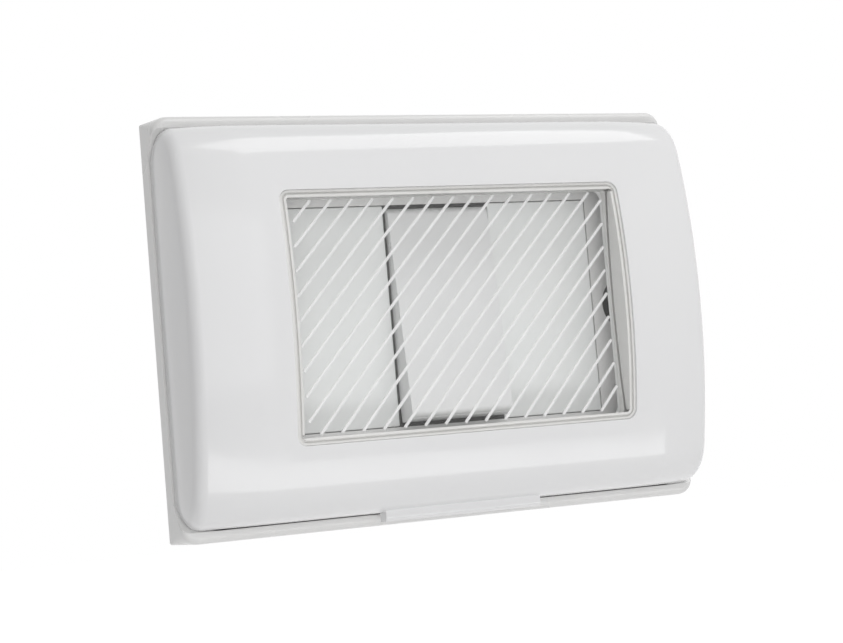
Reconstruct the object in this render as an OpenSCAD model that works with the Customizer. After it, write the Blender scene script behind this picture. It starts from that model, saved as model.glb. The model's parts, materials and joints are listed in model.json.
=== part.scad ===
// Weatherproof three-module wall switch plate with a hinged lid and a push-through membrane.
// The wall is the plane y = 0 and the front faces -Y. A depth is a distance from the wall towards the front.

/* [Base] */
// Width of the base
base_w = 112; // [110:0.5:118]
// Height of the base
base_h = 82; // [81:0.5:88]
// Radius of the base's corners at its front edge
base_corner_r = 3.3; // [2.8:0.1:4]
// Radius of the base's corners against the wall
base_heel_r = 0.5; // [0.3:0.1:2]
// Depth of the top and bottom walls
end_wall_d = 9.3; // [8.8:0.1:10]
// Depth of the side walls between the ramps
side_wall_d = 4.4; // [4:0.1:5.4]
// Height of the ramp between a side wall's edge and an end wall's edge
ramp_h = 5.7; // [5.2:0.1:6.2]
// Thickness of the top and bottom walls
end_wall_t = 2.3; // [1.8:0.1:2.6]
// Thickness of the side walls
side_wall_t = 2.6; // [2.2:0.1:3]
// Thickness of the floor against the wall
floor_t = 2.2; // [1.9:0.1:2.8]
// Radius of the front outer edge of the end walls
band_edge_r = 1.5; // [1:0.1:2]

/* [Deck] */
// Depth of the deck's front face, flush with the blank modules
deck_d = 12.7; // [12.4:0.1:13]
// Thickness of the deck
deck_t = 2.5; // [2.2:0.1:2.8]
// Thickness of the skirt under the deck's edge
skirt_t = 1.5; // [1.2:0.1:1.8]
// Deck border above and below the module opening
deck_border = 5.2; // [5:0.1:5.6]
// Clear space between the deck's side and the side wall
side_trough = 1.9; // [1.6:0.1:2.4]
// Width of the seal groove
seal_w = 2; // [1.6:0.1:2.2]
// Depth of the seal groove
seal_groove_d = 1.4; // [1.1:0.1:1.6]

/* [Wall fixing] */
// Distance between the two wall screws
screw_pitch = 83.5; // [82.5:0.5:84.5]
// Width of the screw slots
slot_w = 4.2; // [3.8:0.1:4.6]
// Length of the screw slots
slot_len = 7; // [6:0.5:8]
// Radius of the screw pockets
pocket_r = 5.8; // [5.2:0.1:6]
// Width of the wall gasket
gasket_w = 3; // [2.4:0.1:3.4]
// Thickness of the wall gasket
gasket_t = 1.2; // [0.9:0.1:1.4]

/* [Modules] */
// Width of one module place
module_pitch = 22.5; // [22.2:0.1:22.8]
// Height of the module opening
module_h = 44; // [43.6:0.1:44.4]
// Wall thickness of a blank module
blank_wall = 1.3; // [1:0.1:1.6]
// Depth of a blank module behind its face
blank_depth = 7; // [6.4:0.1:8]

/* [Lid] */
// Depth of the lid at its crown
lid_d = 25; // [24.6:0.1:27]
// Radius of the lid's front arc
lid_arc_r = 119.4; // [110:1:140]
// Wall thickness of the lid
lid_wall = 1.8; // [1.5:0.1:2]
// Radius between the lid's front and its side flanks
lid_edge_r = 3; // [2.6:0.1:3.6]
// Radius between the lid's front and its top and bottom flanks
lid_end_r = 9.5; // [8.5:0.1:10]
// Radius of the lid's corners where it meets the base
lid_corner_r = 4.5; // [3.6:0.1:5.2]
// Draft of the lid's side flanks in degrees
lid_draft = 3; // [2:0.5:5]
// Distance that the lid's front falls away beside the window
lid_fall = 2.3; // [1.6:0.1:2.6]
// Width over which the lid's front falls away
lid_fall_w = 14; // [12:0.5:15]
// Ledge of the base that shows beside the lid
side_ledge = 0.4; // [0.3:0.1:0.8]
// Width of the pull tab
tab_w = 33.4; // [24:0.2:40]
// Thickness of the pull tab
tab_t = 3.2; // [2.4:0.1:3.4]
// Finger gap between the pull tab and the base
tab_gap = 2.3; // [1.8:0.1:2.6]

/* [Window] */
// Width of the window in the lid
window_w = 72.2; // [71:0.2:73]
// Height of the window in the lid
window_h = 48.3; // [47.6:0.1:48.6]
// Corner radius of the window
window_r = 2; // [1.7:0.1:3]

/* [Membrane] */
// Distance from the lid's crown back to the membrane's front face
membrane_recess = 3.8; // [3.4:0.1:4]
// Thickness of the membrane's sheet
membrane_t = 0.8; // [0.6:0.1:1]
// Distance that the sheet bows inwards at mid height
membrane_sag = 1.2; // [0.6:0.1:1.4]
// Thickness of the membrane's rim
rim_t = 1.4; // [1.1:0.1:1.6]
// Distance that the rim stays below the lid's front
rim_drop = 0.4; // [0.2:0.1:0.6]
// Width of the groove along the middle of the rim
rim_groove_w = 0.45; // [0.3:0.05:0.6]
// Depth of that groove
rim_groove_d = 0.6; // [0.3:0.1:0.8]
// Width of the membrane's flange behind the lid
flange_w = 2.4; // [1.8:0.1:2.6]
// Thickness of the membrane's flange
flange_t = 1; // [0.8:0.1:1.2]
// Number of diagonal ribs
rib_count = 24; // [16:1:28]
// Distance between ribs along the width
rib_pitch = 4.27; // [4:0.01:4.6]
// Lean of the ribs from the horizontal in degrees
rib_lean = 48; // [40:0.5:55]
// Distance that the ribs are set to the left of an even spread
rib_shift = 0.4; // [0:0.1:2]
// Width of a rib
rib_w = 0.6; // [0.4:0.05:0.8]
// Height of a rib
rib_h = 0.35; // [0.2:0.05:0.6]
// Plain border between the rim and the ribbed field at each side
rib_side_border = 1.5; // [1:0.1:3]
// Plain border between the rim and the ribbed field above and below
rib_end_border = 0.5; // [0.3:0.1:2]
// Thickness of the ring that clamps the membrane
clamp_t = 1.5; // [1.2:0.1:1.7]

/* [Hinge] */
// Distance of the hinge axis in front of the end walls
hinge_forward = 4.2; // [4:0.1:4.4]
// Distance of the hinge axis below the lid's top flank
hinge_drop = 5.6; // [5.4:0.1:5.8]
// Distance of each hinge from the base's side
hinge_inset = 22; // [20:0.5:28]
// Radius of the hinge pins
pin_r = 1.2; // [1:0.05:1.3]
// Radius of the hinge knuckles
knuckle_r = 2.4; // [2.2:0.05:2.5]
// Width of a lid knuckle
knuckle_w = 8; // [6:0.5:10]
// Thickness of a base ear
ear_t = 3; // [2.4:0.1:3.6]

/* [Latch] */
// Width of the latch tongue
tongue_w = 16; // [12:0.5:22]
// Thickness of the latch tongue
tongue_t = 1.6; // [1.3:0.1:1.8]
// Height of the bump under the tongue
bump_h = 0.8; // [0.6:0.1:1]

/* [Rocker] */
// Tilt of the rocker to each side in degrees
rocker_tilt = 6.5; // [5.5:0.25:7]
// Height of the level rocker in front of the deck
rocker_rise = 3.3; // [3:0.1:3.6]
// Gap between the rocker and its module place on each side
rocker_side_gap = 0.4; // [0.3:0.05:0.6]
// Wall thickness of the rocker button
rocker_wall = 1.6; // [1.3:0.1:1.7]
// Radius of the rocker's front edges
rocker_edge_r = 1.2; // [0.6:0.1:1.5]
// Depth of the rocker's pivot
pivot_d = 12.2; // [12:0.1:12.4]
// Radius of the carrier's trunnions
trunnion_r = 1.15; // [1:0.05:1.25]

/* [Switch] */
// Depth of the switch housing behind the wall
housing_back = 12; // [11.8:0.1:13]
// Wall thickness of the switch housing
housing_wall = 1.2; // [1:0.1:1.4]
// Thickness of the switch's rear cover
cover_t = 1.6; // [1.4:0.1:2.2]
// Radius of the wire bores in the terminals
wire_r = 1.6; // [1.4:0.05:1.8]
// Radius of the terminal screws
terminal_screw_r = 1.45; // [1.2:0.05:1.6]
// Thickness of the contact strips
strip_t = 0.8; // [0.6:0.1:1]
// Tilt of the moving contact to each side in degrees
contact_tilt = 6; // [5:0.25:6.5]

/* [Spring] */
// Radius of the spring wire
wire_gauge_r = 0.2; // [0.15:0.01:0.22]
// Number of turns of the spring
spring_turns = 5.5; // [4:0.5:5.5]

/* [Fits] */
// Gap between the lid and the base
lid_gap = 0.3; // [0.2:0.05:0.4]
// Gap around a fixed module
module_gap = 0.15; // [0.1:0.05:0.25]
// Radial clearance of a turning pin
run_clear = 0.05; // [0.02:0.01:0.08]
// Clearance between pieces that are fixed to each other
seat_clear = 0.05; // [0.02:0.01:0.1]
// Gap between the lid's lip and its seal
seal_clear = 0.2; // [0.1:0.05:0.3]

/* [Hidden] */
$fn = 64;
cut = 1;
arc_steps = 8;
fall_steps = 3;
sliver = 0.001;
hull_t = 0.1;
ball_facets = 24;
bead_steps = 4;
sheet_facets = 720;
sides = [-1, 1];

// Base and deck
half_h = base_h / 2;
tray_in_w = base_w - 2 * side_wall_t;
tray_in_h = base_h - 2 * end_wall_t;
ramp_top_z = tray_in_h / 2;
ramp_foot_z = ramp_top_z - ramp_h;
ramp_angle = atan((end_wall_d - side_wall_d) / ramp_h);
module_count = 3;
opening_w = module_count * module_pitch;
deck_w = tray_in_w - 2 * side_trough;
deck_h = module_h + 2 * deck_border;
deck_r = 2.5;
deck_back = deck_d - deck_t;
bay_margin = 0.5;
bay_w = opening_w + 2 * bay_margin;
web_t = 1.2;
pocket_wall = 1.1;
screw_seal_t = 1.2;
screw_seal_web = 0.5;
seal_inset = 2.1;
seal_line_w = deck_w - 2 * seal_inset;
seal_line_h = deck_h - 2 * seal_inset;
seal_line_r = 1.6;
gasket_inset = 0.5;
gasket_r = 1;
gasket_out_w = tray_in_w - 2 * gasket_inset;
gasket_out_h = tray_in_h - 2 * gasket_inset;

// Module clips
shoulder_reach = 1.8;
shoulder_t = 2.5;
shoulder_front = deck_back - 2 * seat_clear;
shoulder_back = shoulder_front - shoulder_t;
module_half_w = module_pitch / 2 - module_gap;
module_half_h = module_h / 2 - module_gap;
hook_w = 8;
hook_t = 1.2;
hook_play = 0.2;
hook_z = module_half_h + shoulder_reach + hook_play;
hook_nose = 1.1;
hook_len = 1.6;

// Lid
lid_half_w = base_w / 2 - side_ledge;
lid_half_h = tray_in_h / 2 - lid_gap;
lid_rear_d = end_wall_d + lid_gap;
tray_in_r = lid_corner_r + lid_gap;
arc_centre_d = lid_d - lid_arc_r;
diagonal_shift = lid_gap * tan(ramp_angle / 2);
membrane_front = lid_d - membrane_recess;
membrane_back = membrane_front - membrane_t;
seat_drop = 1;
seat_d = membrane_back - seat_drop;
flange_back = seat_d - flange_t;
clamp_front = flange_back - seat_clear;
clamp_back = clamp_front - clamp_t;
seat_rim = 3;
rim_out_w = window_w - 2 * seat_clear;
rim_out_h = window_h - 2 * seat_clear;
field_w = rim_out_w - 2 * (rim_t + rib_side_border);
field_h = rim_out_h - 2 * (rim_t + rib_end_border);
sheet_half_h = rim_out_h / 2 - rim_t;
sheet_r = (pow(sheet_half_h, 2) + pow(membrane_sag, 2)) / (2 * membrane_sag);
sheet_axis_d = membrane_front - membrane_sag + sheet_r;
lip_t = 1.2;
lip_end_d = deck_d + seal_clear;
clamp_inset = rim_t - 0.4;
clamp_reach = 1;
clamp_in_w = window_w - 2 * clamp_inset;
clamp_in_h = window_h - 2 * clamp_inset;
clamp_out_w = seal_line_w + 2 * clamp_reach;
clamp_out_h = seal_line_h + 2 * clamp_reach;
stake_r = 1.2;
stake_head_r = 1.9;
stake_head_t = 0.8;
stake_x = (window_w / 2 + seat_rim + seal_line_w / 2) / 2;
stake_end_gap = 6;
stake_z = window_h / 2 - stake_end_gap;

// Hinge and latch
hinge_d = end_wall_d + hinge_forward;
hinge_z = lid_half_h - hinge_drop;
hinge_x = base_w / 2 - hinge_inset;
hinge_gap = 0.25;
tab_inset = 0.9;
ear_pad_t = 0.9;
ear_back = hinge_d - knuckle_r;
ear_front = hinge_d + knuckle_r;
hinge_len = knuckle_w + 2 * (hinge_gap + ear_t);
tongue_rise = 2.7;
tongue_low_z = -tray_in_h / 2 + tongue_rise;
bump_z = tongue_low_z - bump_h;
bump_rise = 3.4;
bump_d = floor_t + bump_rise;
bump_lead = 0.4;
bump_flat = 0.4;
bump_slope = 0.9;
catch_margin = 2;
catch_w = tongue_w + 2 * catch_margin;
catch_lead = 0.3;
catch_flat = 1.4;
catch_tail = 0.7;
catch_d = end_wall_d - catch_lead - catch_flat / 2;
latch_clear = 0.15;

// Rocker
rocker_face_d = deck_d + rocker_rise;
rocker_half_w = module_pitch / 2 - rocker_side_gap;
rocker_end_gap = 0.8;
rocker_swing_r = module_h / 2 - rocker_end_gap;
rocker_skirt = 2;
rocker_skirt_d = pivot_d - rocker_skirt;
rocker_inner_d = rocker_face_d - rocker_wall;
rocker_half_h = sqrt(pow(rocker_swing_r, 2) - pow(rocker_face_d - pivot_d, 2));
cheek_t = 1.8;
trunnion_inset = 0.1;
cheek_r = 1.75;
cheek_gap = 0.4;
cheek_out_x = rocker_half_w - rocker_wall - cheek_gap;
plate_gap = 2.8;
plate_t = 1.4;
plate_front = rocker_skirt_d - plate_gap;
plate_back = plate_front - plate_t;
carrier_half_w = cheek_out_x - cheek_t - cheek_gap;
carrier_half_h = 4.8;
carrier_t = 1.4;
stem_r = 3;
stem_end = 3.2;
stem_clear = 0.5;
stem_bore_r = 1.9;
stem_bore_end = pivot_d - trunnion_r - seat_clear;
plunger_r = 1.8;
plunger_tip = -2;
plunger_base = 5;
post_w = 6;
post_t = 1.2;
post_nose = 0.6;
post_lead = 0.8;

// Contacts, in depths behind the wall as negative numbers
tip_clear = 0.1;
blade_front = plunger_tip - tip_clear;
blade_back = blade_front - strip_t;
blade_half_w = 3;
blade_half_len = 12.5;
contact_rod_r = 0.9;
contact_rod_sink = 0.3;
contact_pivot = blade_back - contact_rod_sink;
contact_rod_end = 0.3;
rivet_z = 10.6;
rivet_r = 1.5;
rivet_rise = 0.7;
rivet_tip_swing = rivet_z * sin(contact_tilt);
rivet_gap = 0.15;
fixed_tip = blade_back - rivet_rise - rivet_tip_swing - rivet_gap;
fixed_front = fixed_tip - rivet_rise;
fixed_back = fixed_front - strip_t;
lug_gap = 0.5;
lug_rise = 0.8;
lug_in_x = blade_half_w + lug_gap;
lug_t = 0.8;
lug_half_h = 1.9;
strip_gap = 1.8;
common_front = fixed_back - strip_gap;
common_back = common_front - strip_t;
pillar_half_w = 2.9;
pillar_x = 6.4;
pillar_top_z = -13;
pillar_low_z = -19.6;
pillar_z = (pillar_top_z + pillar_low_z) / 2;
pillar_front = -4.5;
pillar_wall = 1.1;
pillar_back = -housing_back + 2 * seat_clear;
wire_bore_front = pillar_front - pillar_wall;
terminal_xs = [-pillar_x, 0, pillar_x];
screw_head_r = 2.2;
screw_head_t = 1.5;
hole_margin = 0.3;
wire_flare = 0.6;
driver_slot_w = 0.7;
driver_slot_d = 0.6;
screw_d = (pillar_front + pillar_back) / 2;
strip_half_w = 1.5;
pad_margin = 0.7;
pad_half_h = 1.8;
clip_t = 1.2;
clip_d = 4;
clip_h = 16;
cavity_half_w = module_half_w - housing_wall;
cavity_half_h = module_half_h - housing_wall;

// Spring
spring_r = 1.3;
spring_start = stem_bore_end - wire_gauge_r - seat_clear;
spring_end = plunger_base + wire_gauge_r + seat_clear;
rings_per_turn = 8;
wire_sides = 6;
ring_count = floor(spring_turns * rings_per_turn);
last_ring = ring_count * wire_sides;

// Height at which a point of the lid passes a given depth, on its circle about the hinge
function swung_z(d, z, at) =
    hinge_z - sqrt(pow(hinge_d - d, 2) + pow(hinge_z - z, 2) - pow(hinge_d - at, 2));

// Solid from one depth to a larger one, its outline drawn across the front as (x, z)
module slab(from, to) {
    translate([0, -from, 0]) rotate([90, 0, 0]) linear_extrude(to - from) children();
}

// Solid of a given width about x, its outline drawn from the side as (depth, z)
module across(width, x = 0) {
    translate([x - width / 2, 0, 0]) mirror([0, 1, 0]) rotate([90, 0, 90]) linear_extrude(width) children();
}

module rod(r, len, d, z, x = 0) {
    translate([x - len / 2, -d, z]) rotate([0, 90, 0]) cylinder(r = r, h = len);
}

// Children turned about an axis along X at a given depth
module turned(angle, d) {
    translate([0, -d, 0]) rotate([angle, 0, 0]) translate([0, d, 0]) children();
}

module rounded(w, h, r) {
    square([w - 2 * r, h], center = true);
    square([w, h - 2 * r], center = true);
    for (sx = sides, sz = sides) translate([sx * (w / 2 - r), sz * (h / 2 - r)]) circle(r);
}

module ring(w, h, r, t) {
    difference() {
        rounded(w, h, r);
        rounded(w - 2 * t, h - 2 * t, max(r - t, 0.2));
    }
}

// Ring of a given thickness centred on a rectangular line
module line_ring(t) {
    ring(seal_line_w + t, seal_line_h + t, seal_line_r + t / 2, t);
}

module above_and_below() {
    children();
    mirror([0, 0, 1]) children();
}

// Base frame
// Block whose corners are nearly square at the wall and open out to a round below its rolled front edge
module base_block() {
    hull() {
        slab(0, hull_t) rounded(base_w, base_h, base_heel_r);
        for (i = [0 : bead_steps]) {
            a = 90 * i / bead_steps;
            inset = band_edge_r * (1 - cos(a));
            d = end_wall_d - band_edge_r * (1 - sin(a));
            slab(d - hull_t, d) rounded(base_w - 2 * inset, base_h - 2 * inset, base_corner_r - inset);
        }
    }
}

module tray_section() {
    polygon([
        [0, -half_h], [0, half_h], [end_wall_d, half_h], [end_wall_d, ramp_top_z], [side_wall_d, ramp_foot_z],
        [side_wall_d, -ramp_foot_z], [end_wall_d, -ramp_top_z], [end_wall_d, -half_h]
    ]);
}

module tray() {
    difference() {
        intersection() {
            base_block();
            across(base_w) tray_section();
        }
        slab(floor_t, end_wall_d + cut) rounded(tray_in_w, tray_in_h, tray_in_r);
        slab(-cut, floor_t + cut) rounded(deck_w - 2 * skirt_t, deck_h - 2 * skirt_t, deck_r - skirt_t);
    }
}

module deck() {
    slab(deck_back, deck_d) rounded(deck_w, deck_h, deck_r);
    slab(0, deck_d) ring(deck_w, deck_h, deck_r, skirt_t);
    for (sx = sides) {
        slab(0, deck_d)
            translate([sx * (bay_w + web_t) / 2, 0]) square([web_t, deck_h - skirt_t], center = true);
        slab(0, deck_d) translate([sx * screw_pitch / 2, 0]) circle(pocket_r + pocket_wall);
    }
}

module hook_section() {
    nose_z = hook_z - hook_nose;
    nose_front = shoulder_back - seat_clear;
    nose_back = nose_front - hook_len;
    polygon([
        [deck_back + seat_clear, hook_z], [deck_back + seat_clear, hook_z + hook_t],
        [nose_back, hook_z + hook_t], [nose_back, hook_z],
        [nose_front - hook_len / 2, nose_z], [nose_front, nose_z], [nose_front, hook_z]
    ]);
}

module module_hooks() {
    for (i = [-1 : 1]) above_and_below() across(hook_w, i * module_pitch) hook_section();
}

module ear_section() {
    pad_z = deck_h / 2 + ear_pad_t;
    root_z = deck_h / 2 - skirt_t / 2;
    lean = ear_front - deck_d;
    translate([hinge_d, hinge_z]) circle(knuckle_r);
    polygon([
        [ear_back, hinge_z], [ear_front, hinge_z], [ear_front, root_z + lean],
        [deck_d, root_z], [ear_back, root_z]
    ]);
    polygon([
        [floor_t - seat_clear, root_z], [floor_t - seat_clear, pad_z],
        [ear_back, pad_z], [ear_back, root_z]
    ]);
}

module hinge_ears() {
    for (sx = sides, side = sides)
        across(ear_t, sx * hinge_x + side * (knuckle_w / 2 + hinge_gap + ear_t / 2)) ear_section();
}

module latch_catch() {
    top_z = swung_z(bump_d, bump_z, catch_d) - latch_clear;
    foot_z = -tray_in_h / 2 - seat_clear;
    top_front = end_wall_d - catch_lead;
    top_back = top_front - catch_flat;
    across(catch_w) polygon([
        [end_wall_d, foot_z], [top_front, top_z], [top_back, top_z], [top_back - catch_tail, foot_z]
    ]);
}

module base_frame() {
    color("whitesmoke") difference() {
        union() {
            tray();
            deck();
            module_hooks();
            hinge_ears();
            latch_catch();
        }
        slab(deck_back - cut, deck_d + cut) square([opening_w, module_h], center = true);
        slab(deck_d - seal_groove_d, deck_d + cut) line_ring(seal_w);
        slab(-cut, gasket_t) ring(gasket_out_w, gasket_out_h, gasket_r, gasket_w);
        for (sx = sides) {
            slab(floor_t, deck_d + cut) translate([sx * screw_pitch / 2, 0]) circle(pocket_r);
            slab(-cut, floor_t + cut)
                translate([sx * screw_pitch / 2, 0]) rounded(slot_len, slot_w, slot_w / 2 - sliver);
            rod(pin_r + seat_clear / 2, hinge_len + 2 * cut, hinge_d, hinge_z, sx * hinge_x);
        }
    }
}

module wall_gasket() {
    w = gasket_out_w - 2 * seat_clear;
    h = gasket_out_h - 2 * seat_clear;
    color("dimgray") slab(0, gasket_t - seat_clear) ring(w, h, gasket_r, gasket_w - 2 * seat_clear);
}

// Rubber discs on the pocket floors, closed by a thin web that the wall screws pierce
module screw_seals() {
    color("dimgray") for (sx = sides) difference() {
        slab(floor_t, floor_t + screw_seal_t)
            translate([sx * screw_pitch / 2, 0]) circle(pocket_r - 2 * seat_clear);
        slab(floor_t + screw_seal_web, floor_t + screw_seal_t + cut)
            translate([sx * screw_pitch / 2, 0]) circle(slot_w / 2);
    }
}

module lid_seal() {
    color("dimgray") slab(deck_d - seal_groove_d + seat_clear, deck_d) line_ring(seal_w - 2 * seat_clear);
}

module hinge_pin(side) {
    color("silver") rod(pin_r, hinge_len, hinge_d, hinge_z, side * hinge_x);
}

// Lid
// Points along an arc, in equal steps
function arc_points(centre, r, from, to) =
    [for (i = [0 : arc_steps]) let (a = from + (to - from) * i / arc_steps) centre + r * [cos(a), sin(a)]];

function mirrored(points) = [for (i = [len(points) - 1 : -1 : 0]) [points[i].x, -points[i].y]];

// Side view of the line that the centres of the lid's edge balls follow, as (depth, z)
function edge_line() =
    let (
        bend_z = lid_half_h - lid_end_r,
        bend_d = arc_centre_d + sqrt(pow(lid_arc_r - lid_end_r, 2) - pow(bend_z, 2)),
        lean = asin(bend_z / (lid_arc_r - lid_end_r)),
        end_line = arc_points([bend_d, bend_z], lid_end_r - lid_edge_r, 90, lean),
        front_line = arc_points([arc_centre_d, 0], lid_arc_r - lid_edge_r, lean, 0),
        half = concat(end_line, front_line)
    )
    concat(half, mirrored(half));

// Centres of the balls that shape the right half of the lid, as (x, depth, z)
function ball_centres() = [
    for (p = edge_line(), i = [0 : fall_steps])
        let (
            t = i / fall_steps,
            flank_d = p.x - lid_fall - side_wall_d,
            edge_x = lid_half_w - (lid_edge_r + flank_d * sin(lid_draft)) / cos(lid_draft)
        )
        [edge_x - lid_fall_w * (1 - t), p.x - lid_fall * t * t, p.y]
];

// Form of the lid, drawn in equally on every side: balls along its front, and its outline at the rear
module lid_form(inset, rear = 0) {
    hull() {
        for (sx = sides, c = ball_centres())
            translate([sx * c.x, -c.y, c.z]) sphere(lid_edge_r - inset, $fn = ball_facets);
        slab(rear, rear + hull_t)
            rounded(2 * (lid_half_w - inset), 2 * (lid_half_h - inset), lid_corner_r - inset);
    }
}

// Space behind the lid, which follows the base's ramps at its sides and runs straight between them
module behind_lid() {
    foot_z = ramp_foot_z - diagonal_shift;
    top_z = ramp_top_z - diagonal_shift;
    above_and_below() across(deck_w + 2 * lid_gap)
        translate([-cut, ramp_foot_z]) square([lid_rear_d + cut, half_h - ramp_foot_z]);
    across(base_w + cut) polygon([
        [-cut, -half_h], [-cut, half_h], [lid_rear_d, half_h], [lid_rear_d, top_z],
        [side_wall_d + lid_gap, foot_z], [side_wall_d + lid_gap, -foot_z],
        [lid_rear_d, -top_z], [lid_rear_d, -half_h]
    ]);
}

module lid_skin() {
    difference() {
        lid_form(0, side_wall_d);
        lid_form(lid_wall);
        behind_lid();
    }
}

module window_seat() {
    slab(seat_d, lid_d) rounded(window_w + 2 * seat_rim, window_h + 2 * seat_rim, window_r + seat_rim);
}

module lid_knuckles() {
    for (sx = sides) across(knuckle_w, sx * hinge_x) {
        translate([hinge_d, hinge_z]) circle(knuckle_r);
        translate([hinge_d, hinge_z - knuckle_r]) square([lid_d, 2 * knuckle_r]);
    }
}

module stake_places() {
    for (sx = sides, k = [-1 : 1]) translate([sx * stake_x, k * stake_z]) children();
}

module lid_stakes() {
    slab(clamp_back - stake_head_t, lid_d) stake_places() circle(stake_r);
    slab(clamp_back - stake_head_t, clamp_back - seat_clear) stake_places() circle(stake_head_r);
}

module latch_tongue() {
    top_z = tongue_low_z + tongue_t;
    nose_d = bump_d - bump_lead;
    flat_end = bump_d + bump_flat;
    across(tongue_w) polygon([
        [nose_d, top_z], [lid_d, top_z], [lid_d, tongue_low_z], [flat_end + bump_slope, tongue_low_z],
        [flat_end, bump_z], [bump_d, bump_z], [nose_d, tongue_low_z]
    ]);
}

module pull_tab() {
    edge_r = tab_t / 3;
    low_z = -half_h + tab_inset;
    top_z = -lid_half_h + 0.75 * lid_wall;
    back = end_wall_d + tab_gap;
    front = back + tab_t;
    across(tab_w) {
        polygon([
            [back, top_z], [front, top_z], [front, low_z + edge_r], [front - edge_r, low_z], [back, low_z]
        ]);
        translate([front - edge_r, low_z + edge_r]) circle(edge_r);
    }
}

module lid_shell() {
    color("white") difference() {
        union() {
            lid_skin();
            intersection() {
                lid_form(lid_wall / 2);
                union() {
                    window_seat();
                    lid_knuckles();
                    lid_stakes();
                    latch_tongue();
                }
            }
            pull_tab();
        }
        slab(0, lid_d + cut) rounded(window_w, window_h, window_r);
        for (sx = sides) rod(pin_r + run_clear, knuckle_w + 2 * cut, hinge_d, hinge_z, sx * hinge_x);
    }
}

// Membrane
// Band along the bowed sheet, from a distance behind its front face to one in front of it
module bowed_band(behind, before) {
    across(window_w) translate([sheet_axis_d, 0]) difference() {
        circle(sheet_r + behind, $fn = sheet_facets);
        circle(sheet_r - before, $fn = sheet_facets);
    }
}

module membrane_ribs() {
    first_x = -(rib_count - 1) / 2 * rib_pitch - rib_shift;
    intersection() {
        bowed_band(seat_clear, rib_h);
        slab(clamp_front, lid_d) square([field_w, field_h], center = true);
        for (i = [0 : rib_count - 1])
            translate([first_x + i * rib_pitch, 0, 0])
                rotate([0, -rib_lean, 0])
                    slab(clamp_front, lid_d) square([field_w + field_h, rib_w], center = true);
    }
}

// Space behind the lid's front arc, drawn in by a distance
module behind_arc(inset) {
    across(window_w) translate([arc_centre_d, 0]) circle(lid_arc_r - inset, $fn = sheet_facets);
}

module membrane_rim() {
    border = (rim_t - rim_groove_w) / 2;
    difference() {
        intersection() {
            behind_arc(rim_drop);
            slab(flange_back, lid_d) ring(rim_out_w, rim_out_h, window_r, rim_t);
        }
        difference() {
            slab(seat_d, lid_d)
                ring(rim_out_w - 2 * border, rim_out_h - 2 * border, window_r - border, rim_groove_w);
            behind_arc(rim_drop + rim_groove_d);
        }
    }
}

module membrane() {
    color("lightgray", 0.5) {
        membrane_rim();
        slab(flange_back, seat_d - seat_clear)
            ring(rim_out_w + 2 * flange_w, rim_out_h + 2 * flange_w, window_r, flange_w + rim_t / 2);
        intersection() {
            bowed_band(membrane_t, 0);
            slab(clamp_front, lid_d)
                rounded(rim_out_w - rim_t, rim_out_h - rim_t, max(window_r - rim_t / 2, 0.3));
        }
        membrane_ribs();
    }
}

module membrane_frame() {
    color("gainsboro") difference() {
        union() {
            slab(clamp_back, clamp_front) difference() {
                rounded(clamp_out_w, clamp_out_h, seal_line_r + clamp_reach);
                rounded(clamp_in_w, clamp_in_h, window_r);
            }
            slab(lip_end_d, clamp_front) line_ring(lip_t);
        }
        slab(clamp_back - cut, clamp_front + cut) stake_places() circle(stake_r + seat_clear);
    }
}

// Fixed modules
module shoulders() {
    above_and_below()
        slab(shoulder_back, shoulder_front)
            translate([-module_half_w, module_half_h - seat_clear])
                square([2 * module_half_w, shoulder_reach + seat_clear]);
}

module blank(place) {
    color("gainsboro") translate([place * module_pitch, 0, 0]) {
        difference() {
            slab(deck_d - blank_depth, deck_d) square(2 * [module_half_w, module_half_h], center = true);
            slab(deck_d - blank_depth - cut, deck_d - blank_wall)
                square(2 * [module_half_w - blank_wall, module_half_h - blank_wall], center = true);
        }
        for (k = sides)
            slab(deck_d - blank_depth + blank_wall, deck_d - blank_wall / 2)
                translate([0, k * module_half_h / 3])
                    square([2 * module_half_w - blank_wall, blank_wall], center = true);
        shoulders();
    }
}

// Rocker, drawn level and then leaned to its rest
module rocker_pose() {
    turned(-rocker_tilt, pivot_d) children();
}

module rocker_section() {
    bend_d = rocker_face_d - rocker_edge_r;
    bend_z = rocker_half_h - rocker_edge_r;
    intersection() {
        translate([pivot_d, 0]) circle(rocker_swing_r, $fn = 128);
        union() {
            translate([rocker_skirt_d, -rocker_swing_r])
                square([bend_d - rocker_skirt_d, 2 * rocker_swing_r]);
            translate([bend_d - cut, -bend_z]) square([rocker_edge_r + cut, 2 * bend_z]);
        }
    }
    for (sz = sides) translate([bend_d, sz * bend_z]) circle(rocker_edge_r);
}

module clip_posts() {
    inner_z = carrier_half_h + hook_play;
    nose_z = inner_z - post_nose;
    root_d = rocker_inner_d + seat_clear;
    nose_front = rocker_inner_d - carrier_t - hook_play;
    nose_back = nose_front - post_nose;
    end_d = nose_back - post_lead;
    above_and_below() across(post_w) polygon([
        [root_d, inner_z], [root_d, inner_z + post_t], [end_d, inner_z + post_t], [end_d, inner_z],
        [nose_back, nose_z], [nose_front, nose_z], [nose_front, inner_z]
    ]);
}

module rocker_button() {
    color("white") rocker_pose() {
        difference() {
            across(2 * rocker_half_w) rocker_section();
            slab(rocker_skirt_d - cut, rocker_inner_d)
                square(2 * [rocker_half_w - rocker_wall, rocker_half_h - rocker_wall], center = true);
        }
        clip_posts();
    }
}

module rocker_carrier() {
    front = rocker_inner_d - seat_clear;
    color("silver") rocker_pose() difference() {
        union() {
            slab(front - carrier_t, front) square(2 * [carrier_half_w, carrier_half_h], center = true);
            rod(trunnion_r, 2 * (cheek_out_x - trunnion_inset), pivot_d, 0);
            slab(stem_end, front - carrier_t / 2) circle(stem_r);
        }
        slab(stem_end - cut, stem_bore_end) circle(stem_bore_r);
    }
}

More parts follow.
